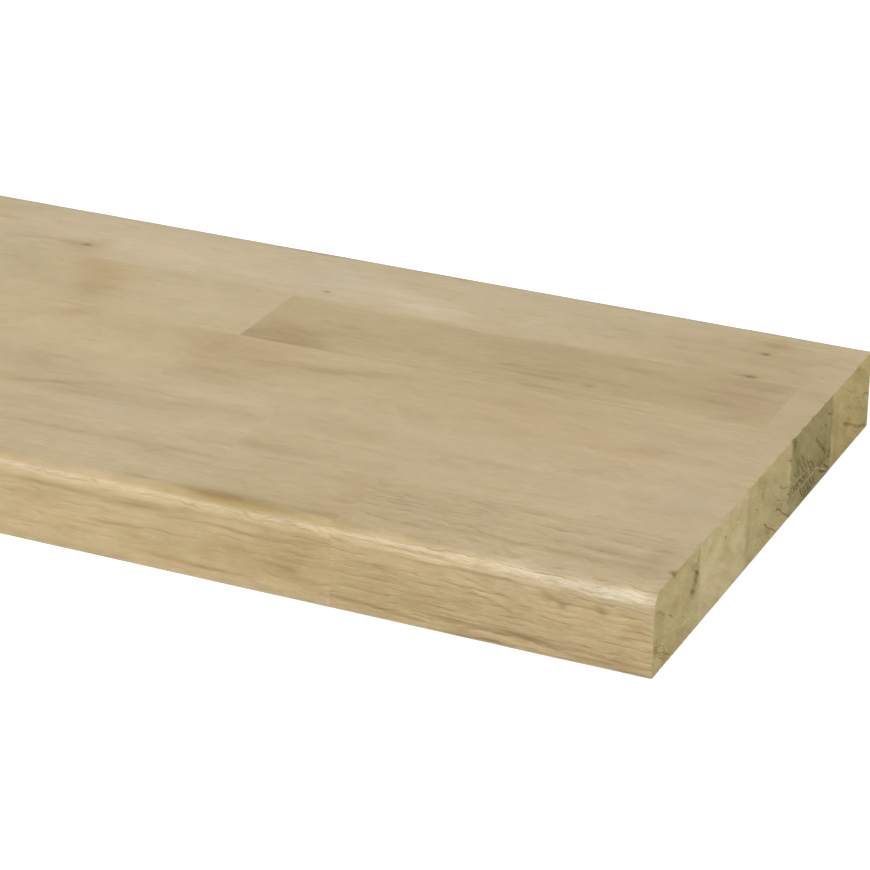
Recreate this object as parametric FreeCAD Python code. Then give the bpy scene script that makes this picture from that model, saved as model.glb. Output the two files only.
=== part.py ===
import FreeCAD, Part
import math
import os

# Window sill board: an oak panel glued up from short staves that lie in rows, planed flat,
# with its top front edge rounded to a nosing and both ends sawn square. Millimetres.
# The origin is under the middle of the board. +X runs along it to the end where the staves
# are counted from, -Y points to the nosing, +Y to the window and +Z up.

# Panel
BOARD_LENGTH = 1200.0
BOARD_DEPTH = 200.0
BOARD_THICKNESS = 27.0
NOSE_RADIUS = 5.0

# Widths of the rows of staves. The back row takes what is left of the depth.
FRONT_ROW_WIDTH = 37.0
INNER_ROW_WIDTH = 41.0

# Lengths of the staves in each row, from the +X end. The last stave of a row, which isn't
# listed, takes what is left of the length.
FRONT_ROW_LENGTHS = [103.0, 262.0, 318.0, 236.0]
SECOND_ROW_LENGTHS = [155.5, 304.0, 286.0, 250.0]
MIDDLE_ROW_LENGTHS = [203.5, 332.0, 276.0, 238.0]
FOURTH_ROW_LENGTHS = [11.6, 184.1, 274.0, 258.0, 236.0]
BACK_ROW_LENGTHS = [412.0, 246.0, 232.0]

# Outer faces of the panel
LEFT_END = -BOARD_LENGTH / 2
RIGHT_END = BOARD_LENGTH / 2
FRONT_EDGE = -BOARD_DEPTH / 2
BACK_EDGE = BOARD_DEPTH / 2


def section_outline():
    """The panel's cross section at its left end: a rectangle with a quarter-round nosing."""

    def at(y, z):
        return FreeCAD.Vector(LEFT_END, y, z)

    nose_centre_y = FRONT_EDGE + NOSE_RADIUS
    nose_centre_z = BOARD_THICKNESS - NOSE_RADIUS
    nose_diagonal = NOSE_RADIUS * math.sqrt(0.5)
    bottom_front = at(FRONT_EDGE, 0)
    bottom_back = at(BACK_EDGE, 0)
    top_back = at(BACK_EDGE, BOARD_THICKNESS)
    nose_top = at(nose_centre_y, BOARD_THICKNESS)
    nose_middle = at(nose_centre_y - nose_diagonal, nose_centre_z + nose_diagonal)
    nose_front = at(FRONT_EDGE, nose_centre_z)
    curves = [
        Part.LineSegment(bottom_front, bottom_back),
        Part.LineSegment(bottom_back, top_back),
        Part.LineSegment(top_back, nose_top),
        Part.Arc(nose_top, nose_middle, nose_front),
        Part.LineSegment(nose_front, bottom_front),
    ]
    return Part.Wire([curve.toShape() for curve in curves])


def moulded_panel():
    """The planed panel with its nosing, as one solid that its glue lines then divide."""
    return Part.Face(section_outline()).extrude(FreeCAD.Vector(BOARD_LENGTH, 0, 0))


def rows():
    """Each row's name, front face, back face and listed stave lengths, from the nosing back."""
    listed = [
        ("front", FRONT_ROW_WIDTH, FRONT_ROW_LENGTHS),
        ("second", INNER_ROW_WIDTH, SECOND_ROW_LENGTHS),
        ("middle", INNER_ROW_WIDTH, MIDDLE_ROW_LENGTHS),
        ("fourth", INNER_ROW_WIDTH, FOURTH_ROW_LENGTHS),
        ("back", BOARD_DEPTH, BACK_ROW_LENGTHS),
    ]
    found = []
    row_front = FRONT_EDGE
    for name, width, lengths in listed:
        row_back = min(row_front + width, BACK_EDGE)
        if row_back > row_front:
            found.append((name, row_front, row_back, lengths))
        row_front = row_back
    return found


def stave_spans(lengths):
    """The left and right end of each stave in a row, starting from the right end."""
    spans = []
    right = RIGHT_END
    for length in lengths + [BOARD_LENGTH]:
        left = max(right - length, LEFT_END)
        if right > left:
            spans.append((left, right))
        right = left
    return spans


def stave(panel, left, right, row_front, row_back):
    """The part of the panel that one stave fills."""
    corner = FreeCAD.Vector(left, row_front, 0)
    blank = Part.makeBox(right - left, row_back - row_front, BOARD_THICKNESS, corner)
    return panel.common(blank).Solids[0]


def main():
    os.makedirs("parts", exist_ok=True)
    panel = moulded_panel()
    for name, row_front, row_back, lengths in rows():
        for number, (left, right) in enumerate(stave_spans(lengths), start=1):
            shape = stave(panel, left, right, row_front, row_back)
            shape.exportStep(f"parts/{name}_row_stave_{number}.step")


main()
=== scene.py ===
import math
from collections import namedtuple

import bpy
import numpy as np
from mathutils import Color, Matrix, Vector


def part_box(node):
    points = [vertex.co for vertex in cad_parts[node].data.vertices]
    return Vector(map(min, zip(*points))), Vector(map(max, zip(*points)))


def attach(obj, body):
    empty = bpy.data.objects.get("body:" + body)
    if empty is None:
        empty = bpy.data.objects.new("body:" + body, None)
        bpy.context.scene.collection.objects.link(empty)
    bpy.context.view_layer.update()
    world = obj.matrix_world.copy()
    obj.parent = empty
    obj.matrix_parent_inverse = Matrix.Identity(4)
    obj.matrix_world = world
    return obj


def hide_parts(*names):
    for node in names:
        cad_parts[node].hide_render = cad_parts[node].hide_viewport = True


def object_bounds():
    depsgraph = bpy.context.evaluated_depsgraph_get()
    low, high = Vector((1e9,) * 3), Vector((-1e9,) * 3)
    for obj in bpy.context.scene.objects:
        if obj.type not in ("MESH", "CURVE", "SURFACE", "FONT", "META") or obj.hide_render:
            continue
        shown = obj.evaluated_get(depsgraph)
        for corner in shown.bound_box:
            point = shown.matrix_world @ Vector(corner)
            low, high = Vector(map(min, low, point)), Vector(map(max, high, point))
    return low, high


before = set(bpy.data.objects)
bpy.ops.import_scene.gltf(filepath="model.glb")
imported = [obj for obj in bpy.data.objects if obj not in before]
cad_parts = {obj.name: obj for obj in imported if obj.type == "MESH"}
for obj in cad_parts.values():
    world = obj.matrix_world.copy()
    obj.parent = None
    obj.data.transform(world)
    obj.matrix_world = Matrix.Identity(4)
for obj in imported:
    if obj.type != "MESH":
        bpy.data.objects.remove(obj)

# Lengths are millimetres and colours 0 to 255 as seen on a screen, unless a comment says otherwise.
# In the tables x counts from the sawn end that the photo shows, and y or across from the front edge.
MM = 0.001
WHITE = 255.0
CAD_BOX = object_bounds()
LOW = np.array(CAD_BOX[0]) / MM
HIGH = np.array(CAD_BOX[1]) / MM
SAWN_END = HIGH[0]
FRONT = LOW[1]
THICKNESS = HIGH[2] - LOW[2]
NOSE_RADIUS = 5.0

# What counts as touching, how squarely a normal faces a side it belongs to, and the degrees between
# faces that still shade smooth
TOUCH = 1e-3
FACING = 0.99
SMOOTH_ANGLE = 30.0

# The photo shows the board this far from its sawn end at the front edge, and more per millimetre back.
VIEW_REACH = 217.0
VIEW_SLANT = 0.64

# Spacing of the mesh: along the board, across it and down, where the photo shows it and elsewhere, and
# closer near the sawn end, at knots and round the nosing
STEP_ALONG = 2.0
FRONT_ALONG = 1.0
STEP_ACROSS = 0.6
STEP_DOWN = 0.5
SPARE_ALONG = 6.0
SPARE_ACROSS = 1.4
SPARE_DOWN = 1.5
STEP_CLOSE = 0.5
NOSE_STEPS = 20
END_REACH = 5.0
KNOT_REACH = 3.0

# Camera, measured from the bottom front corner of the sawn end, in millimetres and degrees
CAMERA_FROM_CORNER = (283.93, -778.95, 446.53)
CAMERA_AZIMUTH = 24.387
CAMERA_ELEVATION = 24.147
CAMERA_ROLL = 0.797
CAMERA_LENS = 135.31
SENSOR_WIDTH = 36.0

# Light, in metres; a level is what a white surface square to the lamp would show
LAMP_DISTANCE = 3.0
KEY_DIRECTION = (-0.376, -0.73, 0.568)
KEY_SIZE = 1.3
KEY_LEVEL = 0.62
FILL_DIRECTION = (0.86, -0.30, 0.42)
FILL_SIZE = 2.2
FILL_LEVEL = 0.36
AMBIENT_LEVEL = 0.50
FLOOR_SIZE = 8.0
FLOOR_GAP = 0.0002
FLOOR_WHITE = 0.62
FLOOR_GLOW = 0.7

# Seeds of a stave's patterns, counted from its own first seed, and how far the grain shifts from one
# stave to the next
SEEDS_PER_STAVE = 1000
FACE_SEED = 100
END_SEED = 200
WEAR_SEED = 300
CHECK_SEED = 400
GRAIN_SHIFT = (0.0, 37.0, 53.0)

# Whole numbers that scramble the points of a grid into values without a pattern
SCRAMBLE = np.array([374761393, 668265263, 1440662683])
SCRAMBLE_SEED = 1274126177
SCRAMBLE_AGAIN = 1103515245
SCRAMBLE_SHIFT = 13
WORD = 0xFFFFFFFF
HALF_WORD = 0xFFFF
HALF_WORD_BITS = 16

# Bends of the grain: the size of a bend along, across and down, and how far it shifts the rings
BOW_SIZE = (230.0, 60.0, 60.0)
BOW_SHIFT = 3.0
SWAY_SIZE = (95.0, 24.0, 24.0)
SWAY_SHIFT = 1.4

# The front and the nosing, where lines show more than on the top, and more so towards the sawn end:
# each is an x and the strength there
FRONT_LINES_FROM = (-135.0, 1.0)
FRONT_LINES_TO = (-65.0, 2.2)
FRONT_SOFT_FROM = (-135.0, 1.9)
FRONT_SOFT_TO = (-65.0, 2.4)
FRONT_PORES = 1.0

# Relief of the planed faces, and wear of the outer arrises
RING_WIDTH = 2.3
RING_RELIEF = 0.03
RING_SHARPNESS = 3
FIBRE_RELIEF = 0.02
FIBRE_SIZE = (40.0, 1.1, 1.6)
ARRIS_WEAR = 0.048
ARRIS_UNEVEN = 0.032
WEAR_SIZE = (9.0, 9.0, 9.0)
CHIP_REACH = 1.2

# Knots, with lengths in shares of their radius: the bend of the grain round one, its brown halo, its
# ragged dark core and the pit in it
KNOT_BEND = 1.2
KNOT_BEND_ALONG = 4.0
KNOT_BEND_ASIDE = 2.5
HALO_ALONG = 4.0
HALO_ASIDE = 2.2
HALO_STRENGTH = 0.5
CORE_ALONG = 1.5
CORE_RAGGED = 0.4
PIT_ALONG = 1.2
PIT_ASIDE = 0.8
PIT_DEPTH = 0.2

# Raggedness of a mark's edges, how its middle line waves, and raggedness of a stain's edges
RAGGED_SIZE = (14.0, 1.3)
RAGGED_ALONG = 0.25
RAGGED_ASIDE = 0.30
LINE_WAVE_LENGTH = 10.0
LINE_WAVE_HEIGHT = 0.5
STAIN_RAGGED = 0.5
STAIN_RAGGED_SIZE = (1.0, 2.0, 2.0)

# How wide and how raggedly the saw smeared the colours of the end over the glue lines
SMEAR_WIDTH = 2.2
SMEAR_RAGGED = 0.9
SMEAR_SIZE = (1.0, 2.2, 1.7)
SMEAR_SEED = 77

# How far the marks on the end were read too near the front, and too high
END_SHIFT = (0.6, -0.4)

# Checks on the end: how far their darkness reaches, how they taper and wander, and how deep they open
CHECK_EDGE = 1.2
CHECK_TIP = 0.9
CHECK_WANDER = 0.2
CHECK_WANDER_SIZE = (1.0, 2.6, 2.6)
CHECK_DEPTH = 0.4
CHECK_EASE = 0.3

# How uneven a row of like checks is
COMB_UNEVEN = 0.45
COMB_TURN = 2.4

# Share of the baked picture that a side gets, for its size: outside, underneath, and where it is glued;
# and the axes of the board that run along and up the picture
SEEN_SHARE = 1.0
UNDER_SHARE = 0.6
GLUED_SHARE = 0.1
BAKE_MARGIN = 0.004
BAKE_AXES = {
    "top": (0, 1), "bottom": (0, 1), "front": (0, 2), "back": (0, 2), "left": (1, 2), "right": (1, 2),
}

# Patterns in the wood: the size of a patch along the grain, out from the pith and round it
WAVE_SIZE = (9.0, 7.5, 7.5)
WAVE_SHIFT = 2.0
DRIFT_SIZE = (200.0, 7.0, 60.0)
DRIFT_RINGS = 2.2
SHOWN_SIZE = (10.0, 3.5, 5.0)
CLOUD_SIZE = (30.0, 7.0, 9.0)
BLOTCH_SIZE = (9.0, 5.0, 6.0)
HUE_SIZE = (6.0, 4.0, 5.0)
STREAK_SIZE = (9.0, 1.4, 1.7)
FLOW_SIZE = (24.0, 1.7, 2.0)
THREAD_SIZE = (4.0, 0.45, 0.5)
DASH_SIZE = (6.0, 0.6, 0.7)
RAY_SIZE = (5.0, 7.0, 0.6)
PORE_SIZE = (6.0, 0.6, 0.65)
END_RAY_SIZE = (8.0, 7.0, 0.5)
SPECK_SIZE = (3.0, 0.6, 0.6)
END_CLOUD_SIZE = (20.0, 6.0, 8.0)

# Marks of the saw on the ends, tears beside them and drifting hues: the marks' angle, and sizes in metres
SAW_ANGLE = -31.0
SAW_SIZE = (1.0, 0.012, 0.0009)
SWEEP_SIZE = (1.0, 0.018, 0.005)
TEAR_SIZE = (1.0, 0.009, 0.0016)
END_HUE_SIZE = (0.02, 0.008, 0.006)

# Octaves of a pattern, and how rough the finer ones make it
PLAIN = 1.0
FINE = 2.0
FINEST = 3.0
NOISE_ROUGHNESS = 0.55
HUE_ROUGHNESS = 0.6

# Where a pattern's value starts and stops to show. In a ring the value is the share of its width, and
# at a check it is the distance in half widths of the check.
EARLY_FADES = (0.04, 0.28)
EARLY_STARTS = (0.93, 1.0)
LATE_STARTS = (0.55, 0.85)
LATE_FADES = (0.85, 0.93)
RINGS_SHOW = (0.42, 0.62)
DASH_SHOWS = (0.62, 0.76)
RAY_SHOWS = (0.64, 0.74)
END_RAY_SHOWS = (0.58, 0.72)
PORE_FADES = (0.16, 0.42)
SPLIT_FADES = (0.0, 0.04)
BURR_STARTS = (0.04, 0.08)
BURR_FADES = (0.08, 0.14)
LINE_FADES = (0.3, CHECK_EDGE)
LIP_STARTS = (0.9, 1.6)
LIP_FADES = (1.6, 2.8)

# How strongly the pores of an end show outside the early wood
PORES_OUTSIDE = 0.2

# A surface: what each pattern adds to its darkness, roughness and height, its plain roughness and gloss,
# how much darkness takes from red, green and blue, and how much each of them swings by itself
Finish = namedtuple("Finish", "darkness roughness height plain_roughness gloss tints hues")
PLANED = Finish(
    darkness={
        "cloud": 0.25, "blotch": 0.17, "flow": 0.07, "streak": 0.15, "thread": 0.16,
        "early": 0.09, "late": -0.06, "dash": 0.05, "ray": -0.05,
    },
    roughness={"dash": 0.15, "thread": 0.14},
    height={"dash": -0.04, "early": -0.04, "thread": 0.07, "streak": 0.12},
    plain_roughness=0.41, gloss=0.5, tints=(0.88, 1.0, 1.38), hues=(0.08, 0.08, 0.13),
)
# On the sawn end the pale band above each check and beside each split is painted highlight, and the darkness
# of checks and splits is partly painted shade in their openings.
SAWN = Finish(
    darkness={
        "cloud": 0.40, "speck": 0.21, "saw": 0.18, "sweep": 0.50, "early": 0.06, "late": -0.03,
        "pore": 0.20, "ray": -0.10, "split": 0.30, "burr_highlight": -0.15, "line": 0.70, "lip_highlight": -0.22,
    },
    roughness={"speck": 0.15},
    height={
        "pore": -0.08, "speck": 0.06, "saw": 0.08, "ray": 0.03, "split": -0.15, "line": -0.20, "lip_highlight": 0.06,
    },
    plain_roughness=0.75, gloss=0.05, tints=(0.93, 1.0, 1.36), hues=(0.15, 0.15, 0.20),
)
WOOD_IOR = 1.48

# Shades that marks are tinted with, as factors on the wood's own colour. Most marks are the wood's own
# streaks; some on the nosing and along the back arris are painted highlight and painted shade.
PALE = (1.09, 1.11, 1.16)
BROWN = (0.89, 0.82, 0.67)
OLIVE = (0.87, 0.86, 0.76)
PURPLE = (0.90, 0.85, 0.85)
GREY = (0.86, 0.84, 0.79)
DARK = (0.50, 0.44, 0.29)
BLACK = (0.30, 0.24, 0.08)
LILAC = (1.09, 1.07, 1.15)
UMBER = (0.42, 0.35, 0.14)
STRAW = (1.0, 0.985, 0.92)
SAGE = (0.94, 0.96, 0.95)
COOL = (0.98, 1.0, 1.07)
SLATE = (0.74, 0.75, 0.80)
MOSS = (0.56, 0.53, 0.33)

# What the staves outside the photo's view are drawn from: colours, and ranges for their grain and marks
SPARE_TONES = [(186, 165, 125), (181, 160, 119), (188, 168, 128), (176, 154, 112), (184, 163, 122)]
SPARE_ENDS = [(168, 152, 104), (182, 166, 119), (158, 143, 97)]
SPARE_SHADES = [OLIVE, BROWN, PALE, PURPLE, GREY]
SPARE_MARKS = 9
SPARE_MARK_LENGTH = (5.0, 45.0)
SPARE_MARK_WIDTH = (0.8, 8.0)
SPARE_MARK_STRENGTH = (0.3, 0.9)
SPARE_MARK_SLOPE = (-0.06, 0.06)
SPARE_KNOT_CHANCE = 0.35
SPARE_KNOT_RADIUS = (0.7, 1.4)
SPARE_KNOT_DARK = 0.7
SPARE_KNOT_EDGE = 8.0
SPARE_PITH_ASIDE = (-60.0, 60.0)
SPARE_PITH_DOWN = (-95.0, -50.0)
SPARE_LEAN = (-0.02, 0.02)
SPARE_FIGURE = (0.6, 1.1)

# A mark on planed faces, mostly a soft streak of the wood but on the nosing and the back arris painted
# highlight and painted shade, and a knot; a stain, a check, torn grain and a chip on the sawn end
Mark = namedtuple("Mark", "x across half_length half_width shade strength slope crisp", defaults=[0.0, 1.0])
Knot = namedtuple("Knot", "x across radius dark")
Stain = namedtuple("Stain", "y z half_y half_z shade strength")
Check = namedtuple("Check", "path width dark")
Torn = namedtuple("Torn", "y z half_y half_z strength")
Chip = namedtuple("Chip", "y width depth")

# How a stave looks: its colours, where its pith lies from its middle, how its rings lean along the
# board, how strong its lines and pores are, how coarse its end is, and its marks
Stave = namedtuple(
    "Stave", "tone end_tone pith lean lines pores coarse marks knots stains checks torn",
    defaults=[(165, 150, 103), (-40.0, -60.0), 0.004, 1.0, 1.0, 1.0, (), (), (), (), ()],
)


def on_top(*rows):
    """Streaks on the top and round its nosing, painted highlight and shade among them, each row with the
    values of a mark.
    """
    return [Mark(*row) for row in rows]


def on_front(*rows):
    """Streaks on the front and up over its nosing, painted highlight and shade among them, with the height
    from the underside in place of across.
    """
    edge_height = THICKNESS - NOSE_RADIUS - NOSE_RADIUS * (1 - math.pi / 2)
    return [Mark(x, height - edge_height, *rest) for x, height, *rest in rows]


def comb(first, count, pitch):
    """A row of like checks, each about a pitch further back than the one before."""
    checks = []
    for place in range(count):
        aside = pitch * place + COMB_UNEVEN * math.sin(COMB_TURN * place)
        lift = COMB_UNEVEN * math.cos(COMB_TURN * place)
        checks.append(first._replace(path=[(y + aside, z + lift) for y, z in first.path]))
    return checks


# Marks on the front that run on over the joint between its first two staves
FRONT_JOINT_MARKS = on_front(
    (-116, 11.5, 22, 8, BROWN, 0.5), (-112, 12, 16, 8, OLIVE, 0.35), (-110, 20, 10, 3, BROWN, 0.5, 0.19),
    (-110, 0.3, 110, 1.0, COOL, 2.0),
)

# The same on the top, at the first end joint of the second and of the middle row
SECOND_JOINT_MARKS = on_top(
    (-147, 42.0, 11, 4.2, OLIVE, 0.6, 0.0, 1.4), (-125, 60, 30, 16, BROWN, 0.2),
)
MIDDLE_JOINT_MARKS = on_top(
    (-186, 97, 17, 19, OLIVE, 0.8), (-186, 112, 17, 8, BROWN, 0.6), (-199, 104, 6, 11, BROWN, 0.8),
)

# What the photo shows on each stave, in the order in which it is laid over the wood's colour. Besides the
# wood's own marks, the front staves have painted highlight and painted shade on their nosing, and the
# back stave has painted shade along its back arris.
FRONT_1_MARKS = FRONT_JOINT_MARKS + on_top(
    (-50, 22, 60, 17, GREY, 0.1), (-84, 21, 20, 12, GREY, 0.35), (-66, 15, 26, 1.1, GREY, 0.8),
    # The pale mark at across 2.0 is painted highlight round the nosing.
    (-60, 22, 12, 1.8, PALE, 0.5), (-28, 7.6, 30, 2.0, PALE, 0.45), (-62, 2.0, 42, 1.3, PALE, 0.5),
) + on_front(
    # A pale band of painted highlight on the nosing, and a grey line of painted shade at its foot.
    (-12, 23.7, 14, 1.2, PALE, 1.5), (-12, 21.8, 12, 0.6, GREY, 1.1),
) + on_top(
    (-22, 20.5, 19, 1.6, GREY, 1.1), (-22, 14.0, 18, 1.8, GREY, 0.8), (-8, 22, 4, 11, GREY, 0.8),
    # The pale mark at across 4.5 is painted highlight at the top of the nosing.
    (-45, 9.4, 32, 1.6, PALE, 0.8), (-28, 4.5, 30, 2.2, PALE, 0.5), (-0.8, 16.5, 1.4, 1.4, DARK, 0.7),
    (-50, 15.6, 5, 0.8, PALE, 1.2), (-49, 13.4, 7, 1.0, BROWN, 0.9), (-42, 30, 14, 2.6, PALE, 0.6),
    (-84, 19.5, 14, 0.7, GREY, 0.8), (-88, 23.0, 13, 0.6, GREY, 0.9), (-92, 28.5, 9, 0.7, GREY, 0.9),
    (-95, 26.5, 7, 0.6, PALE, 0.6), (-86, 11.0, 10, 0.7, GREY, 0.7),
) + on_front(
    # Pale lines of painted highlight on the nosing, with a grey line of painted shade between them.
    (-78, 25.2, 26, 0.7, PALE, 1.5), (-78, 23.0, 26, 0.6, PALE, 1.7), (-78, 24.1, 22, 0.4, GREY, 1.6),
    (-40, 24.4, 17, 2.2, PALE, 1.0, 0.0, 1.5), (-11, 24.4, 16, 2.3, PALE, 1.5, 0.0, 1.5),
) + on_top(
    # Cool tints and a pale line of painted highlight on the nosing, with a grey line of painted shade in it.
    (-40, -0.2, 22, 3.2, COOL, 0.8), (-13, -0.4, 20, 3.4, COOL, 2.2), (-13, 4.3, 12, 0.9, PALE, 1.0),
    (-13, 3.0, 12, 0.7, GREY, 0.5),
) + on_front(
    (-78, 15, 20, 1.2, GREY, 0.4), (-78, 9, 22, 1.6, GREY, 0.5), (-80, 0.8, 24, 0.8, PALE, 0.6),
    (-97, 3.5, 7, 2.6, PALE, 0.5), (-96, 13.5, 7, 2.8, OLIVE, 0.5), (-40, 18.2, 13, 1.2, GREY, 0.4),
    (-40, 12, 13, 1.4, PALE, 0.4), (-13, 20, 10, 0.9, GREY, 0.5), (-13, 15, 10, 1.2, GREY, 0.4),
) + on_top(
    (-84, 7.4, 6, 1.8, STRAW, 1.3), (-26, 17.2, 18, 0.9, PALE, 0.6),
) + on_front(
    # The grey line at height 21.8 is painted shade at the foot of the nosing.
    (-66, 21.8, 24, 0.45, GREY, 1.3), (-60, 28.2, 40, 1.0, GREY, 0.3), (-88, 15.2, 9, 0.5, PALE, 0.7),
    (-40, 9, 58, 13, GREY, 0.28), (-96, 3.9, 9, 0.5, DARK, 0.65, -0.06),
    (-78, 2.8, 12, 0.5, DARK, 0.6, -0.06), (-62, 4.7, 11, 0.6, DARK, 0.7, -0.04),
    (-43, 4.8, 9, 0.7, DARK, 0.9, -0.06), (-34, 4.2, 8, 0.5, DARK, 0.6, -0.03),
    (-20, 2.2, 13, 0.7, DARK, 0.65, -0.05), (-6, 1.0, 8, 0.6, DARK, 0.6),
    (-18, 3.7, 8, 0.5, DARK, 0.5, -0.06), (-54, 0.7, 16, 0.6, DARK, 0.6),
    (-52, 2.9, 24, 0.6, PALE, 1.3, -0.03), (-26, 7.0, 4, 0.9, PALE, 1.2), (-25, 5.9, 5, 0.5, GREY, 1.0),
    (-53, 21.8, 8, 0.5, DARK, 0.4),
) + on_top(
    # The cool mark at across 3.2 is a tint painted into the highlight on the nosing.
    (-48, 3.2, 48, 2.6, COOL, 1.2), (-83, 8.6, 8, 1.8, PALE, 0.6), (-45, 14.4, 20, 1.4, GREY, 0.7),
    (-12, 25, 20, 11, COOL, 0.8),
) + on_front(
    (-50, 15.2, 11, 1.0, PALE, 0.9, -0.27), (-50, 16.9, 11, 0.5, GREY, 1.0, -0.27),
    (-50, 13.6, 11, 0.5, GREY, 1.2, -0.27), (-72, 10.2, 5, 1.4, OLIVE, 0.9),
    (-70, 15.0, 7, 1.4, OLIVE, 0.8), (-32, 19.8, 3.4, 0.7, MOSS, 0.6, -0.4),
    (-28.3, 17.6, 1.2, 1.6, MOSS, 0.7), (-17.2, 19.2, 1.4, 0.8, MOSS, 0.5),
    (-15.8, 18.0, 1.3, 1.5, MOSS, 0.65), (-5, 15, 4, 4, BROWN, 0.5), (-8, 11, 2.5, 0.6, DARK, 0.5),
) + on_front(
    *[(-86, z, 7, 0.45, DARK, 0.3) for z in (17.5, 16.2, 14.2, 12.9, 11.4, 9.6, 8.0)],
)
FRONT_1_STAINS = [
    Stain(1.6, 9, 1.8, 2.6, DARK, 0.7), Stain(3, 10.5, 3, 3.5, BROWN, 0.6),
    Stain(11, 2.5, 2.5, 1.5, BROWN, 0.8), Stain(6, 18.5, 4, 3, OLIVE, 0.7),
    Stain(17, 16.5, 2.4, 2.6, OLIVE, 0.9), Stain(24.5, 7.2, 2.6, 1.1, PALE, 0.9),
    Stain(24, 11, 9, 4, PALE, 0.35), Stain(24, 21, 11, 5, BROWN, 0.25),
    Stain(34.2, 19.0, 1.9, 2.0, BLACK, 0.6), Stain(33.2, 16.5, 2.3, 2.6, DARK, 0.6),
    Stain(31.0, 14.0, 2.3, 1.8, UMBER, 0.65), Stain(33.8, 22.2, 2.3, 0.8, DARK, 0.6),
    Stain(35.8, 10, 1.8, 2.0, PALE, 0.6), Stain(16, 26.6, 1.6, 0.8, BLACK, 0.7),
]
FRONT_1_CHECKS = [
    Check([(1.5, 7.8), (8.5, 5.0), (14.5, 1.2)], 0.35, 0.45), Check([(3.5, 5.6), (9.5, 2.3)], 0.28, 0.4),
    Check([(0.3, 10.4), (5.5, 8.4), (10, 6.4)], 0.35, 0.3),
    Check([(1, 21.5), (5, 19.5), (9, 16.2)], 0.6, 0.25), Check([(11, 16.2), (15.5, 13.0)], 0.3, 0.55),
    Check([(8.2, 11.7), (10.2, 10.7)], 0.3, -0.5),
    Check([(21.5, 8.6), (24, 6.4), (27.5, 6.9), (32, 4.2)], 0.28, -0.4),
    Check([(32.2, 21.0), (36.3, 17.2)], 0.6, 0.6), Check([(29.3, 15.5), (33.4, 12.8)], 0.7, 0.4),
    Check([(35.7, 25.4), (35.6, 21.5)], 0.25, 0.6),
    Check([(30.2, 23.8), (30.5, 22), (31.2, 20.3)], 0.22, 0.5),
]
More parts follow.
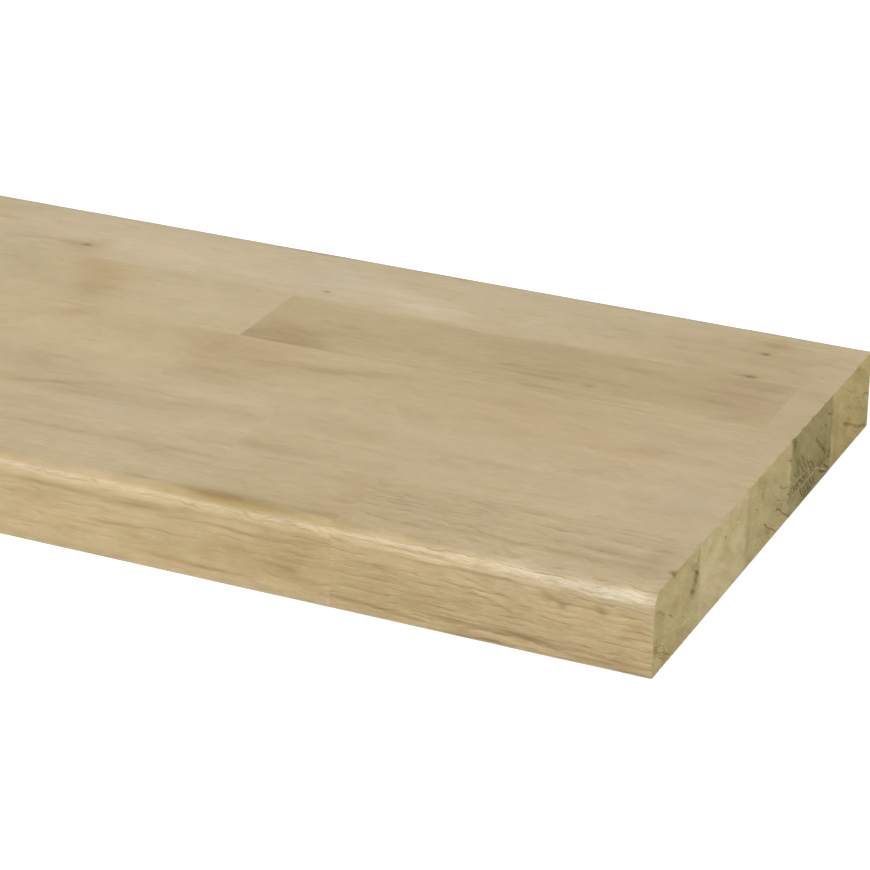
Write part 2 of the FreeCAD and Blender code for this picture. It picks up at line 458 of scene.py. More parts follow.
FRONT_2_MARKS = FRONT_JOINT_MARKS + on_top(
    (-170, 22, 70, 15, PALE, 0.32),
) + on_front(
    (-180, 10, 60, 14, PALE, 0.2),
) + on_top(
    (-188, 36.0, 50, 1.0, PALE, 1.1), (-188, 33.4, 48, 1.8, PALE, 0.4),
    (-190, 27.3, 40, 1.2, GREY, 1.0, 0.02), (-165, 28.6, 9, 1.2, GREY, 0.7), (-190, 16, 50, 7, PALE, 0.35),
    (-178, 22, 9, 0.8, GREY, 0.5), (-200, 20, 4, 0.8, GREY, 0.5),
    (-133, 5.4, 25, 3.8, OLIVE, 1.0, 0.0, 1.6), (-132, 8.8, 26, 2.2, BROWN, 0.3),
    (-138, 5.5, 12, 1.8, BROWN, 0.8), (-110, 6.0, 8, 2.0, OLIVE, 1.0), (-170, 6.0, 4, 0.9, DARK, 0.5),
    (-128, 22, 22, 11, BROWN, 0.25), (-106, 22, 9, 14, BROWN, 0.5), (-116, 31, 7, 1.2, GREY, 0.7),
    (-108, 17, 3.5, 1.0, GREY, 1.0), (-140, 24, 4, 1.4, GREY, 0.5),
) + on_front(
    # The grey line at height 25.1 is painted shade on the nosing's highlight, and the pale band at 22.6
    # painted highlight below it.
    (-133, 27.2, 30, 3.6, OLIVE, 1.25), (-190, 25.1, 34, 0.8, GREY, 0.6), (-190, 22.6, 34, 1.4, PALE, 1.0),
    (-190, 20.3, 36, 1.0, GREY, 0.4), (-190, 7.5, 26, 2.2, GREY, 0.35), (-190, 3, 26, 1.2, PALE, 0.4),
    # The pale mark at height 23.6 is painted highlight on the nosing.
    (-133, 23.6, 30, 1.2, PALE, 1.1), (-133, 3, 28, 1.2, PALE, 0.45), (-203, 20.9, 8, 1.0, OLIVE, 0.9),
    (-165, 20.5, 8, 1.3, OLIVE, 0.9), (-178, 19.0, 20, 0.6, PALE, 0.7), (-206, 20.9, 11, 0.6, DARK, 0.15),
    (-189, 20.6, 6, 0.7, DARK, 0.3, -0.08), (-172, 19.8, 10, 0.9, DARK, 0.35, 0.02),
    (-156, 18.8, 9, 0.5, GREY, 1.0, 0.08), (-133, 18.6, 11, 0.6, DARK, 0.55),
    (-112, 19.8, 9, 0.6, GREY, 1.2, 0.12), (-180, 12.1, 9, 0.5, DARK, 0.4),
    (-176, 13.4, 14, 0.7, PALE, 0.8), (-157, 5.4, 10, 2.0, OLIVE, 1.0), (-136, 12.5, 8, 1.6, OLIVE, 0.5),
    (-123, 9.8, 12, 3.0, OLIVE, 0.6), (-144, 9.5, 5, 2.6, OLIVE, 0.7), (-144, 4.2, 9, 0.7, DARK, 0.4),
    (-117, 4.8, 7, 0.7, PALE, 1.0, -0.1), (-144, 29.5, 13, 1.6, BROWN, 1.3, 0.0, 1.4),
    (-116, 28.8, 10, 1.6, OLIVE, 0.6), (-114.5, 25.0, 5, 0.5, DARK, 0.4, -0.15),
) + on_top(
    # The cool and the pale mark at across 3.2 and 4 are painted highlight on and above the nosing.
    (-200, 3.2, 32, 3.0, COOL, 0.8), (-196, 4, 34, 7, PALE, 0.25), (-165, 22, 60, 14, COOL, 0.5),
    (-106, 8, 7, 3.4, BROWN, 0.7),
) + on_front(
    (-128, 21.6, 18, 0.6, GREY, 0.8, -0.03), (-174, 12.8, 14, 0.6, GREY, 1.2),
    (-167, 9.1, 10, 1.5, OLIVE, 1.1), (-158, 5.1, 17, 0.6, BROWN, 0.6, -0.03),
    (-205, 7.0, 14, 0.6, GREY, 1.1), (-190, 10.0, 12, 0.8, BROWN, 0.8), (-190, 1.2, 14, 0.8, GREY, 0.5),
    (-190, 0.6, 34, 1.0, PALE, 0.5), (-112, 14, 4, 3.4, PALE, 0.6), (-112, 18.5, 4, 2.4, PALE, 0.3),
    # The straw line at height 25.2 is a tint painted into the highlight along the nosing's crest.
    (-160, 25.2, 60, 0.9, STRAW, 0.7), (-116, 9.7, 4, 0.6, DARK, 0.5),
)
SECOND_1_MARKS = SECOND_JOINT_MARKS + on_top(
    (-14, 58, 22, 24, COOL, 0.8), (-24, 58, 10, 6, OLIVE, 0.4), (-134, 41.4, 20, 2.4, GREY, 0.7),
    (-140, 67, 6, 1.0, GREY, 0.7), (-78, 61.5, 15, 2.0, GREY, 0.8), (-70, 64.2, 26, 0.8, PALE, 0.6),
    (-26, 62, 28, 18, LILAC, 0.2), (-15, 54, 6, 4, GREY, 0.4), (-40, 77, 5, 0.9, GREY, 0.6),
    (-110, 62, 24, 4, GREY, 0.3),
)
SECOND_1_STAINS = [
    Stain(45, 14, 9, 6, PALE, 0.4), Stain(77.8, 9.5, 1.2, 4.2, DARK, 0.35),
    Stain(50, 10.7, 3, 0.8, OLIVE, 0.5), Stain(60, 18, 4, 6, OLIVE, 0.5),
]
SECOND_1_CHECKS = [
    Check([(57.4, 20.6), (59.8, 19.2)], 0.6, 0.5), Check([(68.5, 20.8), (71.5, 19.2)], 0.3, -0.4),
]
SECOND_2_MARKS = SECOND_JOINT_MARKS + on_top(
    (-248, 71, 14, 9, GREY, 0.6), (-246, 54, 13, 4.0, BROWN, 0.8), (-205, 55, 25, 3.0, BROWN, 0.5),
    (-231, 57.2, 18, 1.7, GREY, 1.2, 0.3), (-238, 69, 22, 6, BROWN, 0.35), (-190, 48, 24, 7, COOL, 0.7),
    (-216, 53, 13, 1.4, PURPLE, 0.9), (-220, 57, 20, 4.0, PURPLE, 1.0),
    (-195, 64.6, 9, 0.9, PURPLE, 1.2, -0.12), (-184, 59, 20, 3.0, PURPLE, 0.7),
    (-178, 71, 22, 6.0, PALE, 0.5), (-169, 47, 13, 7.0, PALE, 0.6), (-230, 40, 15, 2.4, GREY, 0.6),
    (-239, 76.4, 5, 1.0, GREY, 0.7), (-161, 61.5, 2.6, 1.6, PURPLE, 0.9), (-174, 62, 8, 2.6, GREY, 0.5),
)
MIDDLE_1_MARKS = MIDDLE_JOINT_MARKS + on_top(
    (-14, 98, 22, 24, COOL, 0.8), (-163, 98, 14, 4.0, OLIVE, 0.5), (-20, 89, 12, 4.0, OLIVE, 0.5),
    (-178, 101.4, 13, 2.2, BROWN, 1.2, 0.24), (-150, 105.6, 18, 3.0, OLIVE, 1.8, 0.22),
    (-38, 89.5, 9, 3, BROWN, 0.7), (-184, 99.6, 8, 1.3, PALE, 0.9, 0.2),
    (-110, 116.6, 44, 2.4, OLIVE, 0.35), (-76, 101, 28, 14, STRAW, 0.8), (-28, 107, 22, 10, SAGE, 0.7),
    (-199, 117, 6, 2.0, OLIVE, 0.8), (-190, 88, 9, 2.6, GREY, 0.7), (-186, 81.5, 11, 2.4, GREY, 0.6),
    (-132, 98, 36, 14, OLIVE, 0.3), (-150, 116, 20, 2.4, PALE, 0.4), (-90, 100, 32, 15, OLIVE, 0.3),
    (-95, 113, 45, 7, OLIVE, 0.6), (-90, 106, 5, 3.0, GREY, 0.5), (-92, 93, 6, 2.6, GREY, 0.6),
    (-60, 96, 9, 4.0, OLIVE, 0.6), (-75, 87, 8, 3.0, OLIVE, 0.4), (-18, 84, 22, 6, PALE, 0.3),
    (-36, 94, 9, 5.0, PURPLE, 0.4), (-10, 118, 5, 0.9, GREY, 0.5), (-145, 84, 4, 1.1, GREY, 0.8),
    (-110, 84, 6, 2.0, GREY, 0.5),
)
MIDDLE_1_STAINS = [
    Stain(93, 22.5, 3.4, 3.0, OLIVE, 1.0), Stain(91.4, 19.6, 0.9, 0.9, DARK, 0.5),
    Stain(104, 20, 3.5, 2.6, OLIVE, 0.7), Stain(79, 10, 1.2, 3.2, DARK, 0.3),
    Stain(86, 2.8, 6, 2, OLIVE, 0.5), Stain(83, 14, 5, 5, PALE, 0.4), Stain(90, 26, 3.2, 1.5, OLIVE, 0.6),
    Stain(118.8, 23.5, 0.9, 3.5, DARK, 0.5), Stain(90, 5, 4, 3, PALE, 0.6),
    Stain(109, 19, 8, 6, PURPLE, 0.4), Stain(80, 14, 1.6, 9, OLIVE, 0.7),
]
MIDDLE_1_CHECKS = [
    Check([(85.2, 17.7), (88.8, 16.0)], 0.28, 0.5), Check([(83.6, 18.8), (84.6, 18.1)], 0.3, 0.35),
    Check([(94.3, 8.7), (97.5, 6.4), (102.5, 3.6), (107, 1.0)], 0.4, 0.6),
    Check([(95, 5.7), (101.5, 2.8)], 0.22, 0.4), Check([(97.5, 3.2), (101.5, 0.9)], 0.25, 0.4),
    Check([(105.4, 9.2), (109, 7.6), (113, 4.4), (119.2, 1.1)], 0.36, 0.6),
    Check([(104, 12.8), (109, 11.0), (113, 8.9), (119, 5.6)], 0.3, 0.35),
    Check([(107.2, 16.6), (111.5, 13.8), (116.5, 12.2)], 0.45, 0.35),
    Check([(115, 10.4), (119.6, 8.2)], 0.35, 0.45), Check([(114.6, 21.9), (119.6, 19.9)], 0.22, 0.5),
]
MIDDLE_2_MARKS = MIDDLE_JOINT_MARKS + on_top(
    (-232, 109, 32, 8, OLIVE, 0.4), (-258, 112, 11, 3.6, BROWN, 0.9), (-252, 117, 6, 5.0, OLIVE, 0.7),
    (-260, 118.8, 9, 0.9, OLIVE, 1.0), (-236, 91, 22, 8, PALE, 0.4), (-213, 110, 3, 1.2, GREY, 0.6),
    (-207, 111, 6, 4.0, OLIVE, 0.7), (-205, 102, 4, 9, OLIVE, 0.3), (-210, 116, 7, 2.4, BROWN, 0.5),
)
FOURTH_1_STAINS = [
    Stain(121, 24.5, 1.5, 2.4, BLACK, 0.7), Stain(123.5, 22.5, 4, 3.5, OLIVE, 1.3),
    Stain(124.5, 26, 1.4, 1.0, PALE, 1.2), Stain(150, 23.5, 13, 4.4, LILAC, 1.9),
    Stain(150, 12, 6, 3.6, DARK, 0.3), Stain(138.5, 2.8, 6, 2.6, DARK, 0.35),
    Stain(123.5, 3, 6, 3, PALE, 2.0), Stain(158, 7, 2.2, 2.2, DARK, 0.3),
    Stain(131, 9, 10, 3.4, DARK, 0.24), Stain(126, 15.5, 4, 2.4, DARK, 0.2),
    Stain(120.5, 11, 3, 6, PALE, 1.0), Stain(148, 5, 4, 3, DARK, 0.3),
]
FOURTH_1_CHECKS = [
    *comb(Check([(122.6, 18.8), (125.4, 14.8)], 0.45, 0.38), 5, 1.7),
    *comb(Check([(121.8, 15.0), (125.4, 11.2)], 0.45, 0.42), 8, 1.9),
    *comb(Check([(120.8, 10.6), (124.6, 7.2)], 0.45, 0.5), 11, 2.0),
    *comb(Check([(128.6, 6.4), (132.6, 1.2)], 0.45, 0.46), 7, 2.0),
    *comb(Check([(145.6, 8.6), (148.2, 5.6)], 0.4, 0.4), 4, 1.8),
    *comb(Check([(123.0, 14.8), (126.6, 11.2)], 0.22, -0.4), 7, 1.9),
    *comb(Check([(121.8, 10.4), (125.6, 7.2)], 0.22, -0.4), 10, 2.0),
    *comb(Check([(129.6, 6.2), (133.6, 1.2)], 0.22, -0.4), 6, 2.0),
    Check([(156.8, 14.4), (159.2, 13.0)], 0.5, 0.45), Check([(157.0, 11.4), (159.4, 10.2)], 0.5, 0.45),
    Check([(120.5, 11.0), (130, 10.7), (138, 9.8)], 0.35, -0.7),
    Check([(120.5, 6.9), (133, 6.5), (146, 6.9), (155, 2.4)], 0.4, -0.7),
    Check([(127, 8.6), (134, 8.2), (141, 8.6)], 0.25, -0.35),
    Check([(142.6, 18.6), (147.5, 14.2), (154.8, 8.2)], 0.8, 0.45),
    Check([(134.8, 13.4), (139.8, 11.3), (143.8, 7.7)], 0.3, 0.55),
    Check([(137.5, 10.6), (141.8, 8.7)], 0.3, 0.5), Check([(148.5, 4.4), (156, 1.3)], 0.45, 0.7),
    Check([(152.5, 5.2), (159.3, 1.2)], 0.4, 0.65), Check([(156.8, 8.6), (159.2, 7.2)], 0.6, 0.5),
    Check([(156.3, 6.6), (159.9, 5.0)], 0.5, 0.55), Check([(151.3, 19.8), (154.8, 17.9)], 0.3, 0.55),
    Check([(154, 22.8), (158.8, 20.6)], 0.25, 0.5),
]
FOURTH_2_MARKS = on_top(
    (-194, 122.8, 6, 3.6, DARK, 0.5), (-181, 126, 10, 5.6, BROWN, 1.15, 0.0, 1.4),
    (-170, 133, 6, 9, BROWN, 0.45), (-188, 134, 6, 6, STRAW, 1.2),
    (-182, 127, 13, 8, OLIVE, 0.45, 0.0, 1.4), (-170, 122.5, 9, 3.2, DARK, 0.35),
    (-181, 120.0, 18, 1.5, DARK, 0.35), (-191, 132, 5, 9, OLIVE, 0.4), (-183, 134, 9, 6, BROWN, 0.3),
    (-130, 122, 20, 2.4, PALE, 0.8), (-124, 121, 36, 4.0, PALE, 0.4), (-74, 123.2, 26, 1.1, GREY, 0.9),
    (-84, 150, 20, 2.5, OLIVE, 0.6), (-26, 125, 8, 3.0, SLATE, 0.5), (-70, 140, 38, 14, STRAW, 0.6),
    (-175, 143, 2.4, 1.2, DARK, 0.35), (-165, 142, 5, 2.0, OLIVE, 0.8), (-166, 135, 5, 1.8, OLIVE, 0.7),
    (-176, 152, 24, 5.0, PALE, 0.5), (-165, 157.5, 30, 3.2, PALE, 0.6), (-140, 126, 24, 5.5, PALE, 0.4),
    (-115, 141.5, 4, 0.8, PALE, 0.9), (-82, 136, 40, 12, OLIVE, 0.4), (-92, 131.6, 11, 0.8, DARK, 0.45),
    (-99, 129.4, 5, 0.7, PALE, 1.0), (-74, 131.4, 1.8, 1.2, DARK, 0.7, -0.4),
    (-104, 136, 4, 0.9, DARK, 0.4), (-92, 136, 8, 1.2, GREY, 0.9), (-72, 136, 8, 1.0, GREY, 0.9),
    (-30, 137, 6, 1.2, GREY, 1.1), (-26, 146, 15, 0.8, GREY, 1.0), (-18, 153, 7, 0.8, GREY, 1.1),
    (-24, 156, 13, 5.0, GREY, 0.8, 0.0, 1.6), (-25, 142, 13, 13, PURPLE, 0.8, 0.0, 1.6),
    (-38, 123.2, 34, 4.6, PALE, 1.8, 0.0, 1.8), (-85, 123, 24, 3.6, PALE, 0.15),
    (-90, 123.6, 8, 2.0, GREY, 0.9), (-90, 153, 26, 3.0, GREY, 0.35),
    (-142, 159.8, 56, 2.2, PALE, 1.5, 0.0, 1.5), (-60, 150, 8, 1.0, GREY, 0.7),
    (-66, 149.6, 3, 1.0, DARK, 0.3),
)
FOURTH_3_MARKS = on_top(
    (-276, 158, 9, 9, BROWN, 0.75), (-266, 151, 11, 9, BROWN, 1.0), (-261, 140, 9, 8, BROWN, 0.9),
    (-259, 128, 8, 7, BROWN, 0.8), (-257, 138, 4.5, 1.0, GREY, 1.1, -0.15), (-221, 137, 22, 13, PALE, 0.4),
    (-302, 152, 12, 14, GREY, 0.5), (-290, 141, 6, 4, OLIVE, 0.5), (-290, 132, 6, 3, GREY, 0.4),
    (-272, 136, 18, 12, BROWN, 0.25),
)
BACK_1_MARKS = on_top(
    (-225, 175, 62, 12, PALE, 0.7), (-257, 176, 26, 13, LILAC, 0.5),
    (-174, 175, 24, 8.5, PALE, 0.9, 0.0, 1.5), (-150, 171, 14, 6.4, PALE, 1.1, -0.25, 2.2),
    (-290, 169.5, 8, 3.6, BROWN, 1.4), (-281, 172, 6, 7, OLIVE, 0.9), (-280, 163, 8, 4, BROWN, 0.6),
    (-306, 168.6, 9, 1.2, GREY, 1.0, 0.28), (-310, 166, 14, 9, GREY, 0.4),
    (-325, 182, 9, 1.3, BROWN, 0.8, -0.25), (-335, 190, 12, 8, BROWN, 0.5), (-277, 192, 3, 0.9, GREY, 1.0),
    (-303, 190, 5, 1.2, PALE, 0.9), (-160, 162.6, 54, 1.3, PALE, 0.9), (-194, 179, 28, 10, COOL, 1.1),
    (-255, 184, 44, 13, LILAC, 0.3), (-268, 176, 44, 18, LILAC, 0.3),
    (-155, 167.5, 18, 2.4, LILAC, 0.8, 0.12), (-78, 178, 8, 13, OLIVE, 0.5), (-92, 175, 12, 13, GREY, 0.35),
    (-38, 179, 34, 17, BROWN, 0.7, 0.0, 1.4), (-38, 179, 34, 17, GREY, 0.3, 0.0, 1.4),
    (-66, 172, 8, 7, BROWN, 0.4), (-40, 163.5, 28, 4, BROWN, 0.6), (-12, 164, 10, 4, BROWN, 0.5),
    (-33, 190, 6, 4, OLIVE, 1.2), (-29, 191, 5, 3, BROWN, 1.1), (-31.5, 161.9, 4.5, 1.1, UMBER, 0.4),
    # The slate line at across 200 is painted shade along the back arris.
    (-170, 200.0, 200, 1.1, SLATE, 1.2), (-18, 183, 14, 12, OLIVE, 0.35),
    (-86, 182.6, 5, 0.6, GREY, 1.0, -0.4), (-120, 172, 3, 6, BROWN, 0.45), (-15, 170, 7, 1.8, GREY, 0.6),
    (-48, 186, 6, 1.2, BROWN, 0.5), (-22, 180, 3, 0.9, GREY, 0.7), (-149.5, 199.0, 3, 1.6, GREY, 1.2),
)
BACK_1_KNOTS = [
    Knot(-284.4, 170.0, 1.3, 0.7), Knot(-187.0, 167.2, 0.9, 0.6), Knot(-31.4, 182.0, 1.3, 0.85),
    Knot(-29.0, 161.7, 1.35, 0.6),
]
BACK_1_STAINS = [
    Stain(176, 10.3, 5, 1.8, BROWN, 1.0), Stain(193, 3, 5, 1.6, DARK, 0.35),
    Stain(184, 8.0, 4, 1.6, LILAC, 1.0), Stain(179.5, 20.5, 5, 2.4, OLIVE, 0.6),
    Stain(195, 8, 2.6, 1.4, BROWN, 0.9), Stain(164, 9, 3, 8, GREY, 0.7), Stain(185, 26.3, 3, 1, GREY, 0.7),
    Stain(161.5, 9, 2, 5, LILAC, 0.8),
]
BACK_1_CHECKS = [
    Check([(171, 12.3), (176, 10.4), (181, 7.9), (187, 4.8), (193, 2.6), (199, 0.9)], 0.7, 0.42),
    Check([(170.5, 17.8), (176, 16.0), (181, 13.8)], 0.3, 0.2),
    Check([(173, 23.8), (178, 21.2), (185, 18.2)], 0.4, 0.2), Check([(184.4, 16.6), (189, 14.6)], 0.2, 0.4),
    Check([(193, 14.6), (198.2, 12.8)], 0.4, 0.5), Check([(190.2, 10.2), (194, 8.9)], 0.4, 0.35),
]

# The staves that the photo shows
STAVES = {
    "front_row_stave_1": Stave(
        tone=(181, 159, 117), end_tone=(185, 169, 124), pith=(-35.0, -60.0), lean=0.012, lines=1.7,
        pores=1.3, marks=FRONT_1_MARKS, stains=FRONT_1_STAINS, checks=FRONT_1_CHECKS,
        torn=[Torn(6, 6, 7, 5, 0.5), Torn(33, 18, 3, 7, 0.5)],
    ),
    "front_row_stave_2": Stave(
        tone=(181, 159, 117), pith=(30.0, -70.0), lean=0.01, lines=0.85, marks=FRONT_2_MARKS,
    ),
    "second_row_stave_1": Stave(
        tone=(184, 163, 122), end_tone=(198, 181, 137), pith=(18.0, -95.0), lean=0.006, lines=0.7,
        marks=SECOND_1_MARKS, stains=SECOND_1_STAINS, checks=SECOND_1_CHECKS,
    ),
    "second_row_stave_2": Stave(
        tone=(184, 163, 123), pith=(22.0, -60.0), lean=0.02, lines=0.6, marks=SECOND_2_MARKS,
    ),
    "middle_row_stave_1": Stave(
        tone=(185, 162, 120), end_tone=(185, 169, 123), pith=(-30.0, -55.0), lean=0.01, lines=0.7,
        marks=MIDDLE_1_MARKS, stains=MIDDLE_1_STAINS, checks=MIDDLE_1_CHECKS,
        torn=[Torn(101, 5, 7, 5, 0.4), Torn(113, 7, 7, 6, 0.5)],
    ),
    "middle_row_stave_2": Stave(
        tone=(186, 164, 121), pith=(10.0, -80.0), lean=0.012, lines=0.6, marks=MIDDLE_2_MARKS,
    ),
    "fourth_row_stave_1": Stave(
        tone=(179, 158, 115), end_tone=(154, 141, 98), pith=(-70.0, 4.0), lean=0.0, lines=0.5, pores=0.5,
        coarse=2.2, marks=on_top((-6, 156, 9, 6, GREY, 0.3)), stains=FOURTH_1_STAINS,
        checks=FOURTH_1_CHECKS, torn=[Torn(150, 9, 9, 9, 0.5)],
    ),
    "fourth_row_stave_2": Stave(
        tone=(174, 151, 106), pith=(-60.0, -30.0), lean=0.01, lines=0.8, marks=FOURTH_2_MARKS,
    ),
    "fourth_row_stave_3": Stave(
        tone=(185, 164, 121), pith=(24.0, -75.0), lean=0.01, lines=0.5, marks=FOURTH_3_MARKS,
    ),
    "back_row_stave_1": Stave(
        tone=(186, 166, 126), end_tone=(181, 163, 114), pith=(-25.0, -60.0), lean=0.008, lines=0.6,
        marks=BACK_1_MARKS, knots=BACK_1_KNOTS, stains=BACK_1_STAINS, checks=BACK_1_CHECKS,
        torn=[Torn(184, 8, 12, 6, 0.3)],
    ),
}

# Chips along the top of the sawn end
CHIPS = [
    Chip(16.5, 1.6, 1.0), Chip(38.0, 1.4, 0.5), Chip(60.0, 0.9, 0.4), Chip(69.0, 0.8, 0.3),
    Chip(80.0, 1.2, 0.8), Chip(89.0, 1.0, 0.4), Chip(97.5, 2.2, 0.6), Chip(106.0, 1.2, 0.4),
    Chip(114.0, 1.0, 0.4), Chip(120.5, 1.8, 0.5), Chip(130.0, 1.6, 0.5), Chip(140.0, 2.0, 0.4),
    Chip(152.0, 1.0, 0.4), Chip(161.0, 1.2, 0.4), Chip(173.0, 1.0, 0.3), Chip(187.0, 1.2, 0.5),
]

# The staves that reach the sawn end, from front to back
SAWN_END_STAVES = [f"{row}_row_stave_1" for row in ("front", "second", "middle", "fourth", "back")]


def linear(colour):
    """A screen colour as a linear one of 0 to 1."""
    share = Color([value / WHITE for value in colour])
    return np.array(share.from_srgb_to_scene_linear())


def scrambled(cell, seed):
    """A repeatable value of 0 to 1 for each point of a grid of whole numbers."""
    mixed = (cell @ SCRAMBLE + seed * SCRAMBLE_SEED) & WORD
    mixed = ((mixed ^ (mixed >> SCRAMBLE_SHIFT)) * SCRAMBLE_AGAIN) & WORD
    return ((mixed ^ (mixed >> HALF_WORD_BITS)) & HALF_WORD) / HALF_WORD


def noise(points, seed):
    """Smooth noise from -1 to 1 at each point."""
    cell = np.floor(points).astype(np.int64)
    part = points - cell
    part = part * part * (3.0 - 2.0 * part)
    total = np.zeros(len(points))
    for corner in np.ndindex(2, 2, 2):
        weight = np.prod(np.where(corner, part, 1.0 - part), axis=1)
        total += weight * scrambled(cell + corner, seed)
    return 2.0 * total - 1.0


def evenly(low, high, step):
    return np.linspace(low, high, max(2, round((high - low) / step) + 1))


def stations(low, high, step, closer=()):
    """Positions from low to high about a step apart, or less within each (from, to, step) of closer."""
    places = evenly(low, high, step)
    for start, stop, small in closer:
        if start - low < small:
            start = low
        if high - stop < small:
            stop = high
        if start < stop:
            kept = (places < start - small / 2) | (places > stop + small / 2)
            places = np.sort(np.concatenate([places[kept], evenly(start, stop, small)]))
    return places


def lattice(low, high, stave, in_view):
    """The positions of grid points along, across and down a stave."""
    at_front = abs(low[1] - FRONT) < TOUCH
    at_side = at_front or abs(high[1] - HIGH[1]) < TOUCH
    at_end = abs(high[0] - SAWN_END) < TOUCH or abs(low[0] - LOW[0]) < TOUCH
    view_start = SAWN_END - VIEW_REACH - VIEW_SLANT * (high[1] - FRONT)
    step_along = FRONT_ALONG if at_front else STEP_ALONG
    close_x = [(view_start, SAWN_END, step_along), (SAWN_END - END_REACH, SAWN_END, STEP_CLOSE)]
    close_y = []
    for knot in stave.knots:
        x = SAWN_END + knot.x
        y = FRONT + knot.across
        close_x.append((x - KNOT_REACH, x + KNOT_REACH, STEP_CLOSE))
        close_y.append((y - KNOT_REACH, y + KNOT_REACH, STEP_CLOSE))
    step_across = STEP_ACROSS / stave.coarse if in_view else SPARE_ACROSS
    step_down = STEP_DOWN / stave.coarse if in_view else SPARE_DOWN
    if not (at_side or at_end):
        step_down = THICKNESS
    xs = stations(low[0], high[0], SPARE_ALONG, close_x)
    if not at_front:
        return xs, stations(low[1], high[1], step_across, close_y), evenly(low[2], high[2], step_down)
    nose_back = FRONT + NOSE_RADIUS
    nose_foot = THICKNESS - NOSE_RADIUS
    ys = np.linspace(FRONT, nose_back, NOSE_STEPS, endpoint=False)
    zs = np.linspace(nose_foot, THICKNESS, NOSE_STEPS + 1)
    ys = np.concatenate([ys, stations(nose_back, high[1], step_across, close_y)])
    zs = np.concatenate([evenly(low[2], nose_foot, step_down)[:-1], zs])
    return xs, ys, zs


def shell(xs, ys, zs):
    """Points on the outside of a block of grid points, its quads, and the side each quad is on."""
    shape = (len(xs), len(ys), len(zs))
    outside = np.ones(shape, bool)
    outside[1:-1, 1:-1, 1:-1] = False
    index = np.full(shape, -1)
    index[outside] = np.arange(outside.sum())
    grid = np.argwhere(outside)
    points = np.column_stack([xs[grid[:, 0]], ys[grid[:, 1]], zs[grid[:, 2]]])
    sheets = {
        "right": index[-1], "left": index[0].T,
        "front": index[:, 0], "back": index[:, -1].T,
        "top": index[:, :, -1], "bottom": index[:, :, 0].T,
    }
    quads = []
    sides = []
    for side, sheet in sheets.items():
        corners = [sheet[:-1, :-1], sheet[1:, :-1], sheet[1:, 1:], sheet[:-1, 1:]]
        found = np.stack(corners, axis=-1).reshape(-1, 4)
        quads.append(found)
        sides += [side] * len(found)
    return points, np.concatenate(quads), np.array(sides)


def round_nose(flat):
    """Bends the square front top corner of the grid into the quarter round of the nosing."""
    centre_y = FRONT + NOSE_RADIUS
    centre_z = THICKNESS - NOSE_RADIUS
    a = np.clip((centre_y - flat[:, 1]) / NOSE_RADIUS, 0.0, None)
    b = np.clip((flat[:, 2] - centre_z) / NOSE_RADIUS, 0.0, None)
    bent = flat.copy()
    inside = (a > 0) & (b > 0)
    bent[inside, 1] = centre_y - NOSE_RADIUS * (a * np.sqrt(1 - b * b / 2))[inside]
    bent[inside, 2] = centre_z + NOSE_RADIUS * (b * np.sqrt(1 - a * a / 2))[inside]
    return bent


def across_top(points):
    """Distance from the front edge over the top, carried on round the nosing and down the front."""
    a = FRONT + NOSE_RADIUS - points[:, 1]
    b = points[:, 2] - (THICKNESS - NOSE_RADIUS)
    across = points[:, 1] - FRONT
    on_nose = (a > 0) & (b > 0)
    across = np.where(on_nose, NOSE_RADIUS * (1 - np.arctan2(a, b)), across)
    down_front = (across < TOUCH) & (b <= 0)
    return np.where(down_front, NOSE_RADIUS * (1 - math.pi / 2) + b, across)


def outer_normals(flat, low, high):
    """Which way the board's own outside faces at each point; zero on faces that are glued."""
    normal = np.zeros_like(flat)
    for axis in range(3):
        if abs(high[axis] - HIGH[axis]) < TOUCH:
            normal[flat[:, axis] > high[axis] - TOUCH, axis] += 1.0
        if abs(low[axis] - LOW[axis]) < TOUCH:
            normal[flat[:, axis] < low[axis] + TOUCH, axis] -= 1.0
    return normal


def nose_normals(normal, points):
    """The same with the nosing's own direction on the points that lie on it."""
    offset = points[:, 1:] - (FRONT + NOSE_RADIUS, THICKNESS - NOSE_RADIUS)
    on_nose = (offset[:, 0] < 0) & (offset[:, 1] > 0) & (np.abs(normal[:, 1:]).sum(axis=1) > 0)
    turned = normal.copy()
    turned[on_nose, 1:] = offset[on_nose] / np.linalg.norm(offset[on_nose], axis=1)[:, None]
    return turned


def spare_mark(draw, low, high):
    """A streak anywhere on a stave outside the photo's view."""
    x = draw.uniform(low[0], high[0])
    across = draw.uniform(low[1], high[1])
    shade = SPARE_SHADES[draw.integers(len(SPARE_SHADES))]
    half_length = draw.uniform(*SPARE_MARK_LENGTH)
    half_width = draw.uniform(*SPARE_MARK_WIDTH)
    strength = draw.uniform(*SPARE_MARK_STRENGTH)
    return Mark(x, across, half_length, half_width, shade, strength, draw.uniform(*SPARE_MARK_SLOPE))


